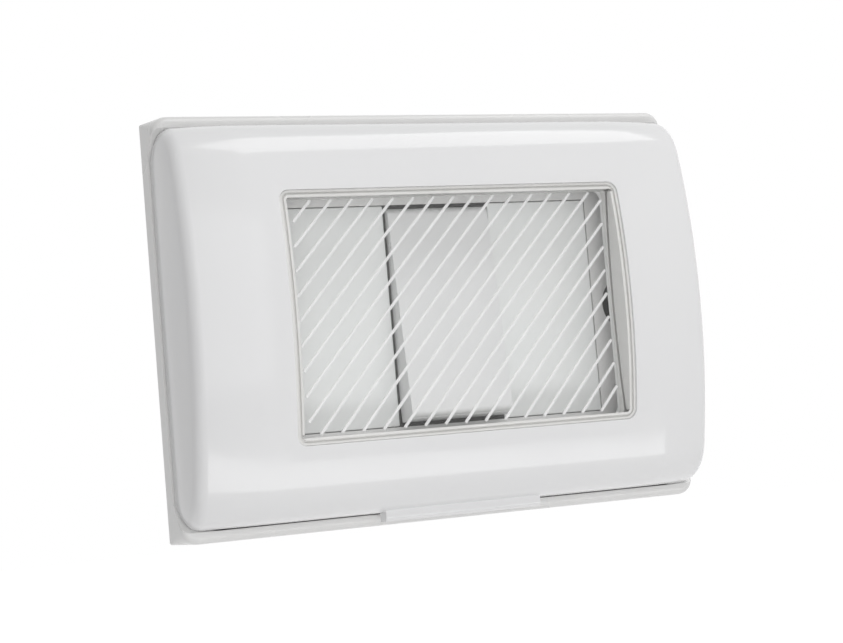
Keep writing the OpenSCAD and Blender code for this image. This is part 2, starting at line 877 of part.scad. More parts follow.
module plunger() {
    tip_centre = plunger_tip + plunger_r;
    color("ivory") rocker_pose() {
        slab(tip_centre, plunger_base) circle(plunger_r);
        translate([0, -tip_centre, 0]) sphere(plunger_r);
    }
}

// Spring wire as one tube along a helix about the stem
function coil_point(i) =
    let (turn = 360 * i / rings_per_turn, travel = i / ring_count)
    [spring_r * cos(turn), -(spring_start + (spring_end - spring_start) * travel), spring_r * sin(turn)];

function wire_ring(i) =
    let (turn = 360 * i / rings_per_turn, out = [cos(turn), 0, sin(turn)])
    [for (k = [0 : wire_sides - 1]) let (a = 360 * k / wire_sides)
        coil_point(i) + wire_gauge_r * (cos(a) * out + [0, sin(a), 0])];

function coil_gap() =
    min([for (i = [0 : ring_count], j = [i + rings_per_turn / 2 : ring_count])
        norm(coil_point(i) - coil_point(j))]) - 2 * wire_gauge_r;

function tube_faces() = [
    for (i = [0 : ring_count - 1], k = [0 : wire_sides - 1])
        let (a = i * wire_sides + k, b = i * wire_sides + (k + 1) % wire_sides)
        each [[a, b, b + wire_sides], [a, b + wire_sides, a + wire_sides]],
    for (k = [1 : wire_sides - 2]) [0, k + 1, k],
    for (k = [1 : wire_sides - 2]) [last_ring, last_ring + k, last_ring + k + 1]
];

module plunger_spring() {
    echo(spring_least_gap = coil_gap());
    color("silver") rocker_pose()
        polyhedron([for (i = [0 : ring_count]) each wire_ring(i)], tube_faces());
}

// Switch housing
module cheek_section() {
    translate([pivot_d, 0]) circle(cheek_r);
    polygon([[pivot_d, cheek_r], [pivot_d, -cheek_r], [plate_back, -2 * cheek_r], [plate_back, 2 * cheek_r]]);
}

module switch_housing() {
    wall_top_z = module_half_h + 2 * seat_clear;
    stem_swing = (pivot_d - plate_back) * sin(rocker_tilt);
    cheek_x = cheek_out_x - cheek_t / 2;
    color("lightgray") difference() {
        union() {
            slab(-housing_back, plate_front) square(2 * [module_half_w, module_half_h], center = true);
            shoulders();
            above_and_below()
                slab(plate_back, shoulder_front)
                    translate([-module_half_w, wall_top_z]) square([2 * module_half_w, hook_nose / 2]);
            above_and_below()
                slab(plate_back, plate_front)
                    translate([-module_half_w, module_half_h - cut])
                        square([2 * module_half_w, cut + hook_nose / 2]);
            for (sx = sides) across(cheek_t, sx * cheek_x) cheek_section();
        }
        slab(-housing_back - cut, plate_back) square(2 * [cavity_half_w, cavity_half_h], center = true);
        slab(plate_back - cut, plate_front + cut)
            square(2 * [stem_r + stem_clear, stem_r + stem_swing + stem_clear], center = true);
        rod(trunnion_r + run_clear, 2 * module_half_w, pivot_d, 0);
        for (x = terminal_xs)
            translate([x, -screw_d, -module_half_h - cut])
                cylinder(r = screw_head_r + hole_margin, h = housing_wall + 2 * cut);
    }
}

module switch_rear_cover() {
    clip_x = cavity_half_w - 2 * seat_clear - clip_t / 2;
    hole_r = wire_r + hole_margin;
    rests = [[0, rivet_z], [-blade_half_w - strip_half_w, -rivet_z]];
    color("lightgray") difference() {
        union() {
            slab(-housing_back - cover_t, -housing_back - seat_clear)
                square(2 * [module_half_w, module_half_h], center = true);
            for (sx = sides)
                slab(-housing_back - cover_t / 2, -housing_back + clip_d)
                    translate([sx * clip_x, clip_h / 2]) square([clip_t, clip_h], center = true);
            slab(-housing_back - cover_t / 2, fixed_back - seat_clear)
                for (p = rests) translate(p) circle(strip_half_w);
            slab(-housing_back - cover_t / 2, common_back - seat_clear) circle(strip_half_w);
        }
        for (x = terminal_xs)
            translate([x, housing_back + cover_t, pillar_z]) rotate([90, 0, 0]) {
                translate([0, 0, -cut]) cylinder(r = hole_r, h = cover_t + 2 * cut);
                translate([0, 0, -sliver]) cylinder(r1 = hole_r + wire_flare, r2 = hole_r, h = cover_t / 2);
            }
    }
}

// Contacts
module contact_pose() {
    turned(contact_tilt, contact_pivot) children();
}

module moving_contact() {
    color("goldenrod") contact_pose() {
        slab(blade_back, blade_front) square(2 * [blade_half_w, blade_half_len], center = true);
        rod(contact_rod_r, 2 * (lug_in_x + lug_t + contact_rod_end), contact_pivot, 0);
    }
}

// Domed rivet on a face at a given depth, its dome towards the front or the back
module rivet(face, towards) {
    dome_r = (rivet_r * rivet_r + rivet_rise * rivet_rise) / (2 * rivet_rise);
    translate([0, -face, 0]) rotate([towards * 90, 0, 0]) intersection() {
        translate([0, 0, rivet_rise - dome_r]) sphere(dome_r);
        cylinder(r = rivet_r, h = rivet_rise);
    }
}

module moving_rivets() {
    color("silver") contact_pose()
        for (sz = sides) translate([0, 0, sz * rivet_z]) rivet(blade_back, -1);
}

module fixed_rivets() {
    color("silver") for (sz = sides) translate([0, 0, sz * rivet_z]) rivet(fixed_front, 1);
}

module pillar(x) {
    difference() {
        slab(pillar_back, pillar_front)
            translate([x, pillar_z]) square([2 * pillar_half_w, pillar_top_z - pillar_low_z], center = true);
        slab(pillar_back - cut, wire_bore_front) translate([x, pillar_z]) circle(wire_r);
        translate([x, -screw_d, pillar_low_z - cut])
            cylinder(r = terminal_screw_r + seat_clear, h = pillar_z - pillar_low_z + cut);
    }
}

module strip(from, to, x0, x1, z0, z1) {
    slab(from, to) translate([min(x0, x1), min(z0, z1)]) square([abs(x1 - x0), abs(z1 - z0)]);
}

module common_terminal() {
    lug_x = lug_in_x + lug_t / 2;
    notch_r = contact_rod_r + run_clear;
    color("goldenrod") {
        for (sx = sides) difference() {
            slab(common_back, contact_pivot + lug_rise)
                translate([sx * lug_x, 0]) square([lug_t, 2 * lug_half_h], center = true);
            rod(notch_r, lug_t + cut, contact_pivot, 0, sx * lug_x);
            slab(contact_pivot, contact_pivot + cut)
                translate([sx * lug_x, 0]) square([lug_t + cut, 2 * notch_r], center = true);
        }
        strip(common_back, common_front, -lug_x, lug_x, -lug_half_h, lug_half_h);
        strip(common_back, common_front, -strip_half_w, strip_half_w, 0, pillar_top_z - cut / 2);
        pillar(0);
    }
}

// Strip from a fixed rivet to its terminal pillar on the given side
module side_contact(side, rivet_at) {
    x = side * pillar_x;
    near_x = -side * (rivet_r + pad_margin);
    far_x = x + side * strip_half_w;
    color("goldenrod") {
        strip(fixed_back, fixed_front, near_x, far_x, rivet_at - pad_half_h, rivet_at + pad_half_h);
        strip(fixed_back, fixed_front, x - strip_half_w, x + strip_half_w, rivet_at, pillar_top_z - cut / 2);
        pillar(x);
    }
}

module terminal_screws() {
    tip_z = pillar_z - wire_r - seat_clear;
    head_z = pillar_low_z - seat_clear;
    color("silver") for (x = terminal_xs) translate([x, -screw_d, 0]) difference() {
        union() {
            translate([0, 0, head_z - screw_head_t]) cylinder(r = screw_head_r, h = screw_head_t);
            translate([0, 0, head_z - screw_head_t / 2])
                cylinder(r = terminal_screw_r, h = tip_z - head_z + screw_head_t / 2);
        }
        translate([0, 0, head_z - screw_head_t])
            cube([2 * screw_head_r + cut, driver_slot_w, 2 * driver_slot_d], center = true);
    }
}

base_frame();
wall_gasket();
screw_seals();
lid_seal();
hinge_pin(-1);  // hinge_pin_left
hinge_pin(1);  // hinge_pin_right
lid_shell();
membrane();
membrane_frame();
blank(-1);  // blank_left
blank(1);  // blank_right
rocker_button();
rocker_carrier();
plunger();
plunger_spring();
switch_housing();
switch_rear_cover();
moving_contact();
moving_rivets();
fixed_rivets();
common_terminal();
side_contact(1, rivet_z);  // upper_contact
side_contact(-1, -rivet_z);  // lower_contact
terminal_screws();
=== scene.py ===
import json
import math

import bmesh
import bpy
from mathutils import Matrix, Vector


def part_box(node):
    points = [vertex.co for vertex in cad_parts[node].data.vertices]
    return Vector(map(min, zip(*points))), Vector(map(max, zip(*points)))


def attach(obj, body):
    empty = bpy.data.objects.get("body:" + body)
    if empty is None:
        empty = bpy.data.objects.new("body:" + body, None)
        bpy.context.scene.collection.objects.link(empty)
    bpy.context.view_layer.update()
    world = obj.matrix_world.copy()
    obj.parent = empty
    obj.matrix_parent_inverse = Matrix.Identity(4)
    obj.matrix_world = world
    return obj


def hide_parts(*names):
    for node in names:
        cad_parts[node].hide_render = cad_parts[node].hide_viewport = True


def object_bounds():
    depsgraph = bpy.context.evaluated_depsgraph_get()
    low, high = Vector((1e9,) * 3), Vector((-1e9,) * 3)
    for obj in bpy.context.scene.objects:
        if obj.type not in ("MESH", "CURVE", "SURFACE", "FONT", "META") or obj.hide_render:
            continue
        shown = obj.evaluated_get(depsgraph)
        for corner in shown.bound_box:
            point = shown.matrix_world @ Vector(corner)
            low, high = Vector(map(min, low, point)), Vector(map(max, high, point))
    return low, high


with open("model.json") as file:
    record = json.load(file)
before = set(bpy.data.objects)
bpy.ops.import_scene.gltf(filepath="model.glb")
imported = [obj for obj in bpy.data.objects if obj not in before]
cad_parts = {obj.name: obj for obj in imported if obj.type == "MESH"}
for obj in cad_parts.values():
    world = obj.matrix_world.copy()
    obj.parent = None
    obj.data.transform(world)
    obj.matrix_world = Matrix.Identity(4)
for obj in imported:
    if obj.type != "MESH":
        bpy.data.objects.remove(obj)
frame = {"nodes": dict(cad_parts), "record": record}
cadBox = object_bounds()
nodes = frame["nodes"]
mm = 0.001  # metres
# The front faces -Y and the wall is the plane y = 0: a depth is a distance in front of the wall
print("frame loaded:", len(nodes), "nodes")


def addObject(name, data):
    item = bpy.data.objects.new(name, data)
    bpy.context.scene.collection.objects.link(item)
    return item


def meshFrom(shape, name):
    mesh = bpy.data.meshes.new(name)
    shape.to_mesh(mesh)
    shape.free()
    return mesh


# Camera, fitted to the photo
cameraSetup = {
    "azimuth": -23.02,  # degrees, negative is to the left of the front
    "elevation": -3.5,  # degrees, negative looks up a little
    "roll": -4.78,  # degrees
    "distance": 354.03 * mm,
    "target": (-4.74 * mm, -12 * mm, -1.42 * mm),
    "focalPixels": 1778.49,  # focal length in pixels of the image
    "imageWidth": 843,  # pixels
    "sensorWidth": 36.0,  # millimetres, as Blender counts it
    "nearest": 10 * mm,
    "farthest": 20,  # metres
}


def makeCamera(setup):
    azimuth = math.radians(setup["azimuth"])
    elevation = math.radians(setup["elevation"])
    roll = math.radians(setup["roll"])
    back = Vector((
        math.sin(azimuth) * math.cos(elevation),
        -math.cos(azimuth) * math.cos(elevation),
        math.sin(elevation),
    ))
    right = Vector((math.cos(azimuth), math.sin(azimuth), 0))
    up = back.cross(right)
    rolledRight = right * math.cos(roll) + up * math.sin(roll)
    rolledUp = up * math.cos(roll) - right * math.sin(roll)
    data = bpy.data.cameras.new("photoCamera")
    data.sensor_width = setup["sensorWidth"]
    data.lens = setup["focalPixels"] * setup["sensorWidth"] / setup["imageWidth"]
    data.clip_start = setup["nearest"]
    data.clip_end = setup["farthest"]
    camera = addObject("photoCamera", data)
    turn = Matrix((rolledRight, rolledUp, back)).transposed().to_4x4()
    camera.matrix_world = Matrix.Translation(Vector(setup["target"]) + back * setup["distance"]) @ turn
    bpy.context.scene.camera = camera


makeCamera(cameraSetup)
print("camera placed")


# Materials
def setInputs(node, values):
    for name, value in values.items():
        node.inputs[name].default_value = value


def addNode(tree, kind, inputs=None, **settings):
    node = tree.nodes.new(kind)
    for name, value in settings.items():
        setattr(node, name, value)
    setInputs(node, inputs or {})
    return node


def newMaterial(name):
    material = bpy.data.materials.new(name)
    material.use_nodes = True
    return material, material.node_tree, material.node_tree.nodes["Principled BSDF"]


finishBasics = {
    "ior": 1.46,
    "noiseSpan": (0.3, 0.7),  # noise values that give the two ends of a range
    "cloudDetail": 0,
    "grainDetail": 3.0,
    "driftScale": 3,  # the roughness drifts in patches this many times finer than the tone's clouds
}


def noiseOn(tree, coords, scale, detail):
    noise = addNode(tree, "ShaderNodeTexNoise", {"Scale": scale, "Detail": detail})
    tree.links.new(coords, noise.inputs["Vector"])
    return noise.outputs["Fac"]


def between(tree, factor, low, high):
    start, end = finishBasics["noiseSpan"]
    ends = {"From Min": start, "From Max": end, "To Min": low, "To Max": high}
    span = addNode(tree, "ShaderNodeMapRange", ends)
    tree.links.new(factor, span.inputs["Value"])
    return span.outputs["Result"]


def tinted(tree, factor, first, second):
    mix = addNode(tree, "ShaderNodeMix", {"A": (*first, 1), "B": (*second, 1)}, data_type="RGBA")
    tree.links.new(factor, mix.inputs["Factor"])
    return mix.outputs["Result"]


def grained(tree, coords, shader, look):
    bump = addNode(tree, "ShaderNodeBump", {"Strength": look["grain"], "Distance": look["grainDepth"]})
    grain = noiseOn(tree, coords, look["grainScale"], finishBasics["grainDetail"])
    tree.links.new(grain, bump.inputs["Height"])
    tree.links.new(bump.outputs["Normal"], shader.inputs["Normal"])


# One finish: two near tones in soft clouds, a roughness that drifts, and a fine grain
def makeFinish(name, look):
    material, tree, shader = newMaterial(name)
    coords = addNode(tree, "ShaderNodeTexCoord").outputs["Object"]
    clouds = noiseOn(tree, coords, look["cloudScale"], finishBasics["cloudDetail"])
    tone = tinted(tree, between(tree, clouds, 0, 1), look["tone"], look["otherTone"])
    tree.links.new(tone, shader.inputs["Base Color"])
    driftScale = look["cloudScale"] * finishBasics["driftScale"]
    drift = noiseOn(tree, coords, driftScale, finishBasics["cloudDetail"])
    tree.links.new(between(tree, drift, *look["roughness"]), shader.inputs["Roughness"])
    grained(tree, coords, shader, look)
    metallic = look.get("metallic", 0)
    alpha = look.get("alpha", 1)
    setInputs(shader, {"Metallic": metallic, "IOR": finishBasics["ior"], "Alpha": alpha})
    return material


finishLooks = {
    "whiteGloss": {
        "tone": (0.85, 0.85, 0.857), "otherTone": (0.86, 0.86, 0.865), "cloudScale": 30,
        "roughness": (0.11, 0.15), "grainScale": 2600, "grain": 0.03, "grainDepth": 0.01 * mm,
    },
    "baseGloss": {
        "tone": (0.79, 0.787, 0.78), "otherTone": (0.8, 0.797, 0.79), "cloudScale": 15,
        "roughness": (0.26, 0.3), "grainScale": 2600, "grain": 0.05, "grainDepth": 0.01 * mm,
    },
    "moduleSatin": {
        "tone": (0.84, 0.855, 0.848), "otherTone": (0.855, 0.867, 0.86), "cloudScale": 60,
        "roughness": (0.34, 0.44), "grainScale": 2600, "grain": 0.12, "grainDepth": 0.03 * mm,
    },
    "rockerSatin": {
        "tone": (0.77, 0.775, 0.775), "otherTone": (0.785, 0.79, 0.79), "cloudScale": 60,
        "roughness": (0.3, 0.4), "grainScale": 2600, "grain": 0.12, "grainDepth": 0.03 * mm,
    },
    "clearSheet": {
        "tone": (0.86, 0.87, 0.86), "otherTone": (0.9, 0.9, 0.88), "cloudScale": 70,
        "roughness": (0.08, 0.16), "grainScale": 500, "grain": 0.08, "grainDepth": 0.05 * mm,
        "alpha": 0.04,
    },
    "frostedRib": {
        "tone": (0.9, 0.9, 0.9), "otherTone": (0.93, 0.93, 0.93), "cloudScale": 200,
        "roughness": (0.35, 0.5), "grainScale": 3000, "grain": 0.15, "grainDepth": 0.03 * mm,
        "alpha": 0.7,
    },
    "clearRim": {
        "tone": (0.92, 0.915, 0.895), "otherTone": (0.94, 0.935, 0.92), "cloudScale": 90,
        "roughness": (0.12, 0.22), "grainScale": 2600, "grain": 0.05, "grainDepth": 0.02 * mm,
        "alpha": 0.8,
    },
    "innerMatt": {
        "tone": (0.1, 0.1, 0.105), "otherTone": (0.13, 0.13, 0.135), "cloudScale": 70,
        "roughness": (0.48, 0.6), "grainScale": 2200, "grain": 0.2, "grainDepth": 0.04 * mm,
    },
    "paleInner": {
        "tone": (0.84, 0.84, 0.84), "otherTone": (0.86, 0.86, 0.86), "cloudScale": 70,
        "roughness": (0.4, 0.5), "grainScale": 2200, "grain": 0.12, "grainDepth": 0.03 * mm,
    },
    # black rubber for the seal, and painted shade on the switch body's collar
    "blackRubberAndShade": {
        "tone": (0.035, 0.035, 0.036), "otherTone": (0.05, 0.05, 0.05), "cloudScale": 120,
        "roughness": (0.6, 0.75), "grainScale": 1800, "grain": 0.35, "grainDepth": 0.05 * mm,
    },
    "zincSteel": {
        "tone": (0.58, 0.58, 0.57), "otherTone": (0.66, 0.66, 0.65), "cloudScale": 400,
        "roughness": (0.25, 0.4), "grainScale": 4000, "grain": 0.15, "grainDepth": 0.02 * mm,
        "metallic": 1,
    },
    "contactSilver": {
        "tone": (0.8, 0.79, 0.76), "otherTone": (0.86, 0.85, 0.83), "cloudScale": 700,
        "roughness": (0.2, 0.35), "grainScale": 5000, "grain": 0.1, "grainDepth": 0.02 * mm,
        "metallic": 1,
    },
    "stampedBrass": {
        "tone": (0.72, 0.53, 0.22), "otherTone": (0.8, 0.62, 0.3), "cloudScale": 300,
        "roughness": (0.25, 0.42), "grainScale": 3500, "grain": 0.15, "grainDepth": 0.02 * mm,
        "metallic": 1,
    },
}
finishes = {name: makeFinish(name, look) for name, look in finishLooks.items()}
finishOfSlot = {
    "white_plastic": "whiteGloss",
    "clear_membrane": "clearRim",
    "module_plastic": "moduleSatin",
    "inner_plastic": "innerMatt",
    "seal_rubber": "blackRubberAndShade",
    "steel": "zincSteel",
    "contact_silver": "contactSilver",
    "brass": "stampedBrass",
}
finishOfNode = {"membrane_frame": "paleInner"}  # shows pale through the membrane
for subpart in frame["record"]["subparts"]:
    finish = finishOfNode.get(subpart["node"], finishOfSlot[subpart["material_slot"]])
    materials = nodes[subpart["node"]].data.materials
    materials.clear()
    materials.append(finishes[finish])
print("finishes made:", len(finishes))

# Dressed copies: the solid's own faces, welded, with soft edges and smooth curves
dressing = {
    "weld": 0.002 * mm,
    "flatAngle": 0.2,  # degrees, faces that turn less than this are joined
    "sharpAngle": 35,  # degrees, edges that turn more than this are softened
    "smoothAngle": 32,  # degrees, edges that still turn more than this stay crisp
}


def weldedCopy(nodeName):
    shape = bmesh.new()
    shape.from_mesh(nodes[nodeName].data)
    bmesh.ops.remove_doubles(shape, verts=shape.verts, dist=dressing["weld"])
    bmesh.ops.dissolve_limit(
        shape, angle_limit=math.radians(dressing["flatAngle"]), verts=shape.verts, edges=shape.edges,
        use_dissolve_boundaries=False,
    )
    return shape


def softenEdges(shape, radius, segments, wanted=lambda edge: True, sharpAngle=dressing["sharpAngle"]):
    limit = math.radians(sharpAngle)
    joined = [edge for edge in shape.edges if len(edge.link_faces) == 2]
    edges = [edge for edge in joined if edge.calc_face_angle() > limit and wanted(edge)]
    bmesh.ops.bevel(
        shape, geom=edges, offset=radius, offset_type="OFFSET", affect="EDGES", segments=segments,
        profile=0.5, material=-1, clamp_overlap=True,
    )
    return len(edges)


def finishPiece(shape, name, body, replaced, pieceFinishes, flatFaces=False):
    mesh = meshFrom(shape, name)
    mesh.polygons.foreach_set("use_smooth", [True] * len(mesh.polygons))
    mesh.set_sharp_from_angle(angle=math.radians(dressing["smoothAngle"]))
    for finish in pieceFinishes:
        mesh.materials.append(finishes[finish])
    piece = addObject(name, mesh)
    if flatFaces:
        piece.modifiers.new("flatFaces", "WEIGHTED_NORMAL").keep_sharp = True
    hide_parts(replaced)
    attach(piece, body)
    return piece


lidLook = {
    "edgeRadius": 0.35 * mm,
    "segments": 4,
    "windowEdgeRadius": 1.2 * mm,
    "windowInset": 2.15 * mm,  # the window's edge lies at least this far inside the membrane's outline
    "windowRange": 4.0 * mm,  # and at most this far behind the lid's front
    "rearEdgeRadius": 0.6 * mm,
    "rearReach": (1.1 * mm, 0.8 * mm),  # the rear edge lies at most this far inside the lid's sides and top
    "rearRange": 5.1 * mm,  # and at most this far in front of the lid's back
}
lidLow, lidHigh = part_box("lid_shell")
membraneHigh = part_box("membrane")[1]


def isWindowEdge(edge):
    halfWidth = membraneHigh.x - lidLook["windowInset"]
    halfHeight = membraneHigh.z - lidLook["windowInset"]
    within = all(abs(vert.co.x) < halfWidth and abs(vert.co.z) < halfHeight for vert in edge.verts)
    return within and all(vert.co.y < lidLow.y + lidLook["windowRange"] for vert in edge.verts)


def isRearEdge(edge):
    sideReach, topReach = lidLook["rearReach"]
    behind = all(vert.co.y > lidHigh.y - lidLook["rearRange"] for vert in edge.verts)
    atSide = all(abs(vert.co.x) > lidHigh.x - sideReach for vert in edge.verts)
    atEnd = all(abs(vert.co.z) > lidHigh.z - topReach for vert in edge.verts)
    return behind and (atSide or atEnd)


lid = weldedCopy("lid_shell")
softened = softenEdges(lid, lidLook["windowEdgeRadius"], lidLook["segments"], isWindowEdge)
print("window edges softened:", softened)
softened = softenEdges(lid, lidLook["rearEdgeRadius"], lidLook["segments"], isRearEdge)
print("rear edges softened:", softened)
softened = softenEdges(lid, lidLook["edgeRadius"], lidLook["segments"])
finishPiece(lid, "lidCover", "lid", "lid_shell", ["whiteGloss"])
print("lid dressed, edges softened:", softened)

baseLook = {
    "edgeRadius": 0.3 * mm,
    "sharpAngle": 50,  # degrees, in place of the one in dressing
    "segments": 3,
    "grooveEdgeRadius": 0.75 * mm,
    "grooveInset": (0.2 * mm, 1.0 * mm),  # the edge beside the lid lies this far inside the base's sides
    "grooveEnd": 1.8 * mm,  # at least this far from its top and bottom
    "grooveDepth": 4.2 * mm,  # and in front of this depth
}
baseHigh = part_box("base_frame")[1]


def isGrooveEdge(edge):
    least, most = baseLook["grooveInset"]
    beside = all(least < baseHigh.x - abs(vert.co.x) < most for vert in edge.verts)
    within = all(baseHigh.z - abs(vert.co.z) > baseLook["grooveEnd"] for vert in edge.verts)
    inFront = all(-vert.co.y > baseLook["grooveDepth"] for vert in edge.verts)
    return beside and within and inFront


base = weldedCopy("base_frame")
softened = softenEdges(base, baseLook["grooveEdgeRadius"], baseLook["segments"], isGrooveEdge)
print("groove edges softened:", softened)
softened = softenEdges(
    base, baseLook["edgeRadius"], baseLook["segments"], sharpAngle=baseLook["sharpAngle"],
)
finishPiece(base, "basePlate", "base", "base_frame", ["baseGloss"], flatFaces=True)
print("base dressed, edges softened:", softened)

moduleLook = {"edgeRadius": 0.25 * mm, "segments": 2}
modulePieces = (
    ("blank_left", "blankLeft", "base", "moduleSatin"),
    ("blank_right", "blankRight", "base", "moduleSatin"),
    ("rocker_button", "rockerKey", "rocker", "rockerSatin"),
)
for nodeName, pieceName, body, finish in modulePieces:
    module = weldedCopy(nodeName)
    softenEdges(module, moduleLook["edgeRadius"], moduleLook["segments"])
    finishPiece(module, pieceName, body, nodeName, [finish], flatFaces=True)
print("modules dressed")

# Switch body, with a thin dark collar in the gap round the rocker: the collar is painted shade that makes
# the gap read as a dark shadow line
switchLook = {
    "edgeRadius": 0.25 * mm,
    "segments": 2,
    "shadeCollarGap": (0.13 * mm, 0.121 * mm),  # to the rocker, at its sides and at its ends
    "shadeCollarWall": (0.4 * mm, 0.66 * mm),  # at its sides and at its ends
    "shadeCollarSink": 0.3 * mm,  # how far the painted shade collar stays behind the blanks' faces
    "shadeCollarDepth": 3.4 * mm,
}
facingFront = Matrix.Rotation(math.radians(90), 3, "X")  # stands up what lies flat
squaredUp = Matrix.Rotation(math.radians(45), 3, "Z")  # turns a diamond's sides along X and Y


def facesOn(verts):
    return list(dict.fromkeys(face for vert in verts for face in vert.link_faces))


# Copies faces that stand alone to a place further along, with walls between, and returns the new points
def thicken(shape, faces, shift):
    grown = bmesh.ops.extrude_face_region(shape, geom=faces)["geom"]
    moved = [part for part in grown if isinstance(part, bmesh.types.BMVert)]
    bmesh.ops.translate(shape, verts=moved, vec=shift)
    return moved


# The corners of a rectangle that faces the front
def addRectangle(shape, half, depth):
    corners = bmesh.ops.create_circle(shape, segments=4, radius=math.sqrt(2))["verts"]
    bmesh.ops.rotate(shape, verts=corners, matrix=squaredUp)
    bmesh.ops.rotate(shape, verts=corners, matrix=facingFront)
    bmesh.ops.scale(shape, verts=corners, vec=(half[0], 1, half[1]))
    bmesh.ops.translate(shape, verts=corners, vec=(0, -depth, 0))
    return corners


# Painted shade: a black ring in the gap round the rocker, where there would only be shade
def addShadeCollar(shape, finishIndex):
    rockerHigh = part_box("rocker_button")[1]
    sideGap, endGap = switchLook["shadeCollarGap"]
    sideWall, endWall = switchLook["shadeCollarWall"]
    inside = (rockerHigh.x + sideGap, rockerHigh.z + endGap)
    outside = (inside[0] + sideWall, inside[1] + endWall)
    blankFront = -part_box("blank_right")[0].y
    back = blankFront - switchLook["shadeCollarSink"] - switchLook["shadeCollarDepth"]
    corners = addRectangle(shape, outside, back) + addRectangle(shape, inside, back)
    loops = list(dict.fromkeys(edge for corner in corners for edge in corner.link_edges))
    ring = bmesh.ops.bridge_loops(shape, edges=loops)["faces"]
    corners += thicken(shape, ring, (0, -switchLook["shadeCollarDepth"], 0))
    shadeCollar = facesOn(corners)
    for face in shadeCollar:
        face.material_index = finishIndex
    bmesh.ops.recalc_face_normals(shape, faces=shadeCollar)


housing = weldedCopy("switch_housing")
# the second finish is the painted shade on the collar
housingFinishes = ["innerMatt", "blackRubberAndShade"]
softenEdges(housing, switchLook["edgeRadius"], switchLook["segments"])
addShadeCollar(housing, housingFinishes.index("blackRubberAndShade"))
finishPiece(
    housing, "switchBody", "base", "switch_housing", housingFinishes, flatFaces=True,
)
print("switch body dressed")

# Membrane: a clear bowed sheet, frosted ribs standing on it, and a thicker rim
membraneLook = {
    "rimWidth": 3.8 * mm,
    "rimEdgeRadius": 0.3 * mm,
    "rimSegments": 3,
    "rise": 2.8 * mm,  # from the rim's back to the sheet's front face, where the two meet
    "bow": 1.2 * mm,  # how much nearer the wall that face lies at mid height
    "thickness": 0.8 * mm,
    "tuck": 0.3 * mm,  # how far the sheet runs into the rim
    "columns": 48,
    "rows": 40,
    "margin": 0.02 * mm,  # slack in telling the sheet's faces from the rim's
}
sheetHalf = (membraneHigh.x - membraneLook["rimWidth"], membraneHigh.z - membraneLook["rimWidth"])


# Depth of the sheet's front face, which is an arc from top to bottom
def sheetFrontAt(z):
    bow = membraneLook["bow"]
    radius = (sheetHalf[1] ** 2 + bow ** 2) / (2 * bow)
    middleFront = membraneLook["rise"] - membraneHigh.y - bow
    return middleFront + radius - math.sqrt(radius ** 2 - z ** 2)


def isRimFace(face):
    centre = face.calc_center_median()
    halfWidth, halfHeight = [half - membraneLook["margin"] for half in sheetHalf]
    insideRim = abs(centre.x) < halfWidth and abs(centre.z) < halfHeight
    sheetBack = sheetFrontAt(centre.z) - membraneLook["thickness"]
    return not insideRim or -centre.y < sheetBack - membraneLook["margin"]


def bowedSheet():
    shape = bmesh.new()
    halfWidth, halfHeight = [half + membraneLook["tuck"] for half in sheetHalf]
    columns, rows = membraneLook["columns"], membraneLook["rows"]
    bmesh.ops.create_grid(shape, x_segments=columns, y_segments=rows, size=1)
    bmesh.ops.scale(shape, verts=shape.verts, vec=(halfWidth, halfHeight, 1))
    bmesh.ops.rotate(shape, verts=shape.verts, matrix=facingFront)
    for vert in shape.verts:
        vert.co.y = -sheetFrontAt(vert.co.z)
    thicken(shape, shape.faces[:], (0, membraneLook["thickness"], 0))
    bmesh.ops.recalc_face_normals(shape, faces=shape.faces)
    return shape


ribLook = {
    "count": 24,
    "pitch": 4.27 * mm,
    "lean": 48.0,  # degrees from the horizontal
    "shift": 0.4 * mm,  # to the left
    "width": 0.6 * mm,
    "height": 0.35 * mm,
    "sink": 0.05 * mm,  # how far a rib runs into the sheet
    "fieldGap": (1.5 * mm, 0.5 * mm),  # from the ribbed field to the rim, at its sides and at its ends
    "steps": 24,
    "edgeRadius": 0.16 * mm,
    "segments": 2,
    "sharpAngle": 50,  # degrees, in place of the one in dressing
}


# One rib: a bar along a slanted line, cut off at the edge of the ribbed field
def addRib(shape, startX):
    halfWidth, halfHeight = [half - gap for half, gap in zip(sheetHalf, ribLook["fieldGap"])]
    lean = math.radians(ribLook["lean"])
    low = max((-halfWidth - startX) / math.cos(lean), -halfHeight / math.sin(lean))
    high = min((halfWidth - startX) / math.cos(lean), halfHeight / math.sin(lean))
    if high - low < ribLook["width"]:
        return  # too short to show, or outside the field
    strip = bmesh.ops.create_grid(shape, x_segments=ribLook["steps"], y_segments=1, size=0.5)["verts"]
    bmesh.ops.scale(shape, verts=strip, vec=(high - low, ribLook["width"], 1))
    bmesh.ops.rotate(shape, verts=strip, matrix=facingFront)
    bmesh.ops.translate(shape, verts=strip, vec=((low + high) / 2, ribLook["sink"], 0))
    bar = strip + thicken(shape, facesOn(strip), (0, -ribLook["sink"] - ribLook["height"], 0))
    bmesh.ops.rotate(shape, verts=bar, matrix=Matrix.Rotation(-lean, 3, "Y"))
    bmesh.ops.translate(shape, verts=bar, vec=(startX, 0, 0))
    for vert in bar:
        vert.co.y -= sheetFrontAt(vert.co.z)


def ribField():
    shape = bmesh.new()
    middle = (ribLook["count"] - 1) / 2
    for number in range(ribLook["count"]):
        addRib(shape, (number - middle) * ribLook["pitch"] - ribLook["shift"])
    bmesh.ops.recalc_face_normals(shape, faces=shape.faces)
    softenEdges(shape, ribLook["edgeRadius"], ribLook["segments"], sharpAngle=ribLook["sharpAngle"])
    return shape


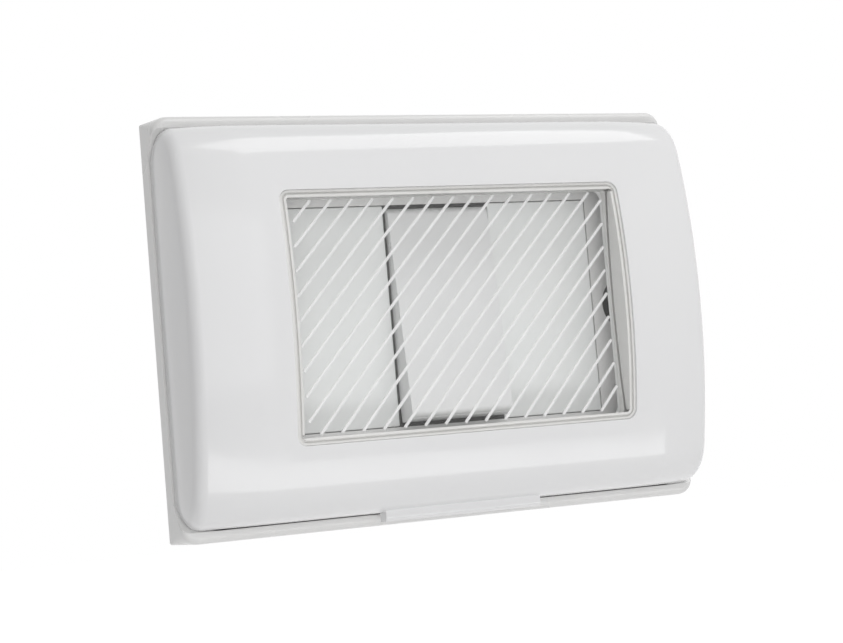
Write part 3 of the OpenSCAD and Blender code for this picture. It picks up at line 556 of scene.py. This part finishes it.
# The rim is the solid without the faces that the new sheet and ribs stand for
rim = weldedCopy("membrane")
sheetFaces = [face for face in rim.faces if not isRimFace(face)]
bmesh.ops.delete(rim, geom=sheetFaces, context="FACES")
softenEdges(rim, membraneLook["rimEdgeRadius"], membraneLook["rimSegments"])
finishPiece(rim, "membraneRim", "lid", "membrane", ["clearRim"])
clearShapes = (
    ("membraneSheet", bowedSheet(), "clearSheet"),
    ("membraneRibs", ribField(), "frostedRib"),
)
for pieceName, shape, finish in clearShapes:
    piece = finishPiece(shape, pieceName, "lid", "membrane", [finish])
    piece.visible_shadow = False
print("membrane dressed")

# Floor, backdrop and light
white = (1, 1, 1, 1)
floorSetup = {
    "size": 6.0,  # metres from the middle to each side
    "drop": 0.35,  # metres below the lowest point of the part
    "tone": (0.9, 0.9, 0.9, 1),
    "roughness": 0.9,
    "lift": 0.8,  # how much the floor glows where it is seen
}
worldSetup = {
    "fill": 0.34,  # light from all round
    "backdrop": 1,  # brightness where the surroundings are seen
}
# Places and sizes in metres, power in watts
lampSetups = {
    "frontSoftbox": {"place": (-0.25, -0.97, 0.15), "size": (0.9, 0.7), "power": 2.1},
    "topSoftbox": {"place": (0.3, -0.32, 0.8), "size": (0.9, 0.5), "power": 3.7},
    "lowSoftbox": {"place": (0.1, -0.5, -0.4), "size": (0.9, 0.25), "power": 1.9},
    "edgeSoftbox": {"place": (-0.85, -0.72, 0.05), "size": (0.08, 0.9), "power": 0.15},
}


# 1 for a ray that shows the surroundings: seen straight on, in a reflection or through the membrane
def shownToEye(tree):
    path = addNode(tree, "ShaderNodeLightPath")
    straight = addNode(tree, "ShaderNodeMath", operation="MAXIMUM")
    anyWay = addNode(tree, "ShaderNodeMath", operation="MAXIMUM")
    tree.links.new(path.outputs["Is Camera Ray"], straight.inputs[0])
    tree.links.new(path.outputs["Is Glossy Ray"], straight.inputs[1])
    tree.links.new(straight.outputs[0], anyWay.inputs[0])
    tree.links.new(path.outputs["Is Transmission Ray"], anyWay.inputs[1])
    return anyWay.outputs[0]


def makeFloor(setup):
    shape = bmesh.new()
    bmesh.ops.create_grid(shape, x_segments=1, y_segments=1, size=setup["size"])
    bmesh.ops.translate(shape, verts=shape.verts, vec=(0, 0, cadBox[0][2] - setup["drop"]))
    floor = addObject("studioFloor", meshFrom(shape, "studioFloor"))
    material, tree, shader = newMaterial("paleFloor")
    setInputs(shader, {"Base Color": setup["tone"], "Roughness": setup["roughness"]})
    setInputs(shader, {"Specular IOR Level": 0, "Emission Color": white})
    lift = addNode(tree, "ShaderNodeMath", {1: setup["lift"]}, operation="MULTIPLY")
    tree.links.new(shownToEye(tree), lift.inputs[0])
    tree.links.new(lift.outputs[0], shader.inputs["Emission Strength"])
    floor.data.materials.append(material)


def makeWorld(setup):
    world = bpy.data.worlds.new("studioWorld")
    bpy.context.scene.world = world
    world.use_nodes = True
    tree = world.node_tree
    tree.nodes.clear()
    fill = addNode(tree, "ShaderNodeBackground", {"Color": white, "Strength": setup["fill"]})
    backdrop = addNode(tree, "ShaderNodeBackground", {"Color": white, "Strength": setup["backdrop"]})
    mix = addNode(tree, "ShaderNodeMixShader")
    output = addNode(tree, "ShaderNodeOutputWorld")
    tree.links.new(shownToEye(tree), mix.inputs["Fac"])
    tree.links.new(fill.outputs[0], mix.inputs[1])
    tree.links.new(backdrop.outputs[0], mix.inputs[2])
    tree.links.new(mix.outputs[0], output.inputs["Surface"])


# A soft lamp that points at the frame's origin
def makeLamp(name, place, size, power):
    data = bpy.data.lights.new(name, "AREA")
    data.shape = "RECTANGLE"
    data.size, data.size_y = size
    data.energy = power
    lamp = addObject(name, data)
    lamp.location = place
    lamp.rotation_euler = (-Vector(place)).to_track_quat("-Z", "Y").to_euler()


makeFloor(floorSetup)
makeWorld(worldSetup)
for name, setup in lampSetups.items():
    makeLamp(name, **setup)
print("stage and lamps placed")

bpy.context.scene.view_settings.view_transform = "Standard"
